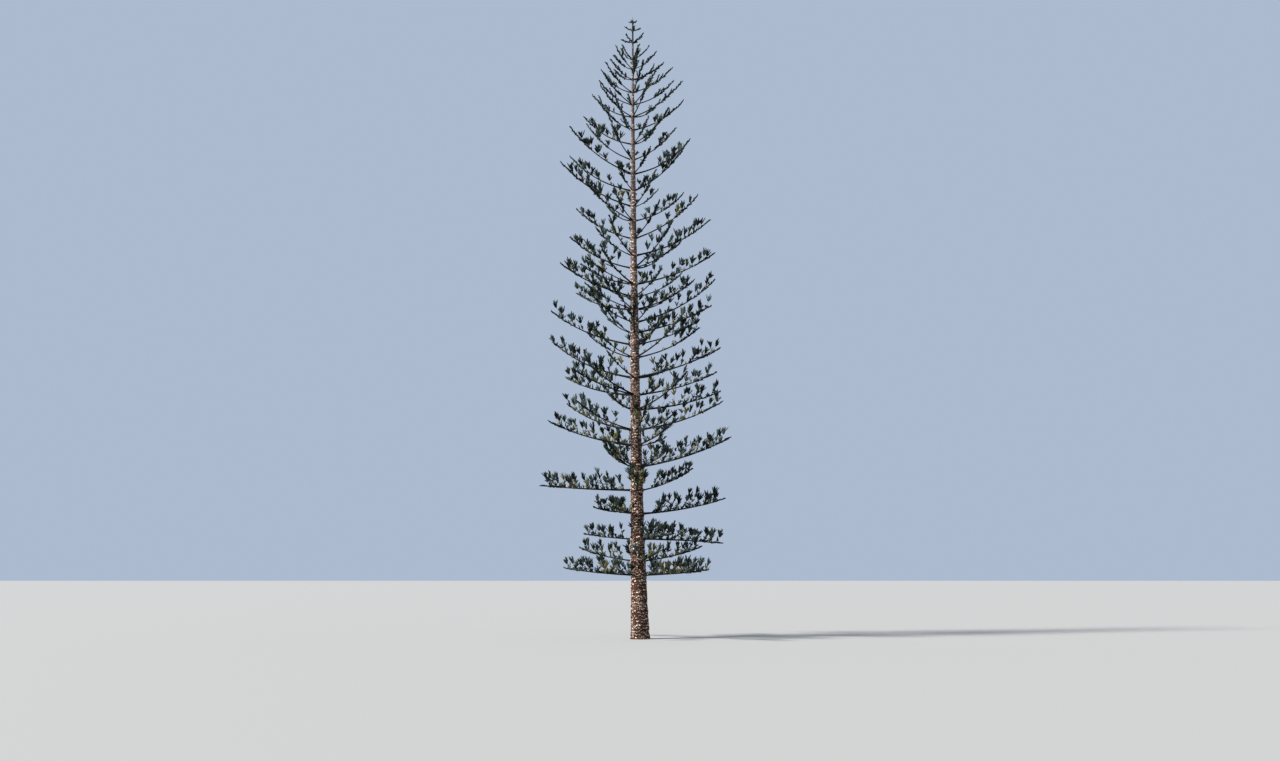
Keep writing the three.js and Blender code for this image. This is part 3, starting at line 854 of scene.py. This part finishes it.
def add_bough_fans(bough):
    """Short fans straight on a bough, which fill in under its twigs."""
    clothed = max(0.0, bough.reach - bare_length(bough))
    rate = habit("bough fans", bough) / thinning(bough)
    count = int(clothed * rate + rng.random())
    for i in range(count):
        share = (i + rng.random()) / count
        u = 1 - clothed / bough.reach * (1 - BOUGH_SPAN * share)
        aside = BOUGH_LEAN["side"] if i % 2 else -BOUGH_LEAN["side"]
        axis = bough.along(u) * BOUGH_LEAN["out"] + bough.side * aside + UP * BOUGH_LEAN["up"]
        tone = tone_for(bough, share, "low")
        place = (tier_of(bough), tone, bough.point(u), unit(axis))
        add_fan(*place, BOUGH_FAN, BOUGH_OPEN, BOUGH_FAN_SIZE)


def add_bough_sleeve(bough):
    most = SHORT_SLEEVE if bough.reach < SHORTEST_SLEEVED else SLEEVE["share"]
    clothed = min(most, SLEEVE["length"] / bough.reach)
    tone = "deep" if chance(bough.whorl, bough.key, 22) < DEEP_SLEEVES else "green"
    size = min(1.0, SLEEVE_SIZE["base"] + SLEEVE_SIZE["by_reach"] * bough.reach)
    add_sleeve(bough, bough.reach, clothed, tier_of(bough), tone, size)


def add_stem_sleeve():
    """Shoots straight on the stem, all the way up the leader."""
    count = round(STEM_SLEEVE["length"] / STEM_SLEEVE["gap"])
    heights = HEIGHT - STEM_SLEEVE["length"] * np.linspace(1, STEM_SLEEVE["top"], count)
    roots = np.c_[[trunk_middle(z) for z in heights], np.zeros(count), heights]
    axes = np.tile(UP, (count, 1))
    open_angles = np.full(count, STEM_SLEEVE["open"])
    turns = STEM_SLEEVE["turn"] * np.arange(count)
    add_shoots("top", "green", roots, axes, open_angles, turns, np.linspace(*STEM_SHOOTS, count), 0.0)


for twig in twigs:
    add_twig_foliage(twig)
for bough in boughs:
    add_bough_fans(bough)
for bough in boughs:
    add_bough_sleeve(bough)
add_stem_sleeve()


def stands_clear(rows):
    """Which shoots stand on the leader, or have their middle outside the trunk's bark."""
    middle = rows[:, :3] + 0.5 * rows[:, 3:6] * rows[:, 6:7]
    axis = np.array([trunk_middle(z) for z in middle[:, 2]])
    bark = np.array([trunk_radius(z) for z in middle[:, 2]])
    is_outside = np.hypot(middle[:, 0] - axis, middle[:, 1]) > bark
    return (rows[:, 2] > HEIGHT - STEM_SLEEVE["length"]) | is_outside


def shoots_mesh(name, rows):
    """Every shoot of one tone and tier as one mesh, from the one that was modelled."""
    roots, ways, lengths, radii = rows[:, :3], rows[:, 3:6], rows[:, 6], rows[:, 7]
    side = unit(np.cross(ways, SIDEWAYS_OF_SHOOT))
    other = np.cross(ways, side)
    x, y, z = shoot_points.T
    points = roots[:, None] + (lengths[:, None] * z)[..., None] * ways[:, None]
    points += (radii[:, None] * x)[..., None] * side[:, None]
    points += (radii[:, None] * y)[..., None] * other[:, None]
    points[..., 2] += SHOOT_CURL * lengths[:, None] * z * z
    faces = shoot_faces[None] + (len(shoot_points) * np.arange(len(rows)))[:, None, None]
    mesh = bpy.data.meshes.new(name)
    mesh.vertices.add(points.size // 3)
    mesh.vertices.foreach_set("co", points.ravel())
    mesh.loops.add(faces.size)
    mesh.loops.foreach_set("vertex_index", faces.ravel().astype(np.int32))
    mesh.polygons.add(faces.size // 3)
    mesh.polygons.foreach_set("loop_start", np.arange(0, faces.size, 3, dtype=np.int32))
    mesh.update(calc_edges=True)
    mesh.validate()
    piece = bpy.data.objects.new(name, mesh)
    bpy.context.scene.collection.objects.link(piece)
    return piece


def foliage_material(tone):
    material, _, shader = new_material(f"{tone} foliage")
    finish = {
        "Base Color": TONES[tone],
        "Roughness": FOLIAGE_ROUGHNESS,
        "Specular IOR Level": FOLIAGE_SHINE,
    }
    set_inputs(shader, finish)
    return material


def tier_nodes(tier):
    """The solids that a tier's foliage stands for."""
    first, last = TIERS[tier]
    names = []
    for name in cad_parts:
        kind, *rest = name.split("_")
        if kind in ("foliage", "whorl") and first <= int(rest[0]) - 1 < last:
            names.append(name)
    return names


tone_materials = {tone: foliage_material(tone) for tone in TONES}
for (tier, tone), rows in shoots.items():
    rows = np.concatenate(rows)
    piece = shoots_mesh(f"foliage_{tier}_{tone}", rows[stands_clear(rows)])
    piece.data.materials.append(tone_materials[tone])
    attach(piece, "root")
    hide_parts(*tier_nodes(tier))


# The tree stands on a plain pale floor under a pale, even sky, with one large soft light high on
# the left in front.
FLOOR_SIZE, FLOOR_COLOUR, FLOOR_ROUGHNESS = 900, (150, 148, 143), 0.9
SKY_COLOUR, SKY_STRENGTH = (196, 212, 236), 0.75
SUN_STRENGTH, SUN_WIDTH = 8.0, math.radians(9)
SUN_TURN = (math.radians(50), 0, math.radians(-68))

deselect_all()
bpy.ops.mesh.primitive_plane_add(size=FLOOR_SIZE)
floor = bpy.context.object
floor.name = "floor"
material, _, shader = new_material("pale floor")
set_inputs(shader, {"Base Color": srgb(*FLOOR_COLOUR), "Roughness": FLOOR_ROUGHNESS})
floor.data.materials.append(material)

world = bpy.data.worlds.new("pale sky")
world.use_nodes = True
sky = {"Color": srgb(*SKY_COLOUR), "Strength": SKY_STRENGTH}
set_inputs(world.node_tree.nodes["Background"], sky)
bpy.context.scene.world = world
bpy.context.scene.view_settings.view_transform = "Standard"

bpy.ops.object.light_add(type="SUN", rotation=SUN_TURN)
sun = bpy.context.object
sun.data.energy = SUN_STRENGTH
sun.data.angle = SUN_WIDTH
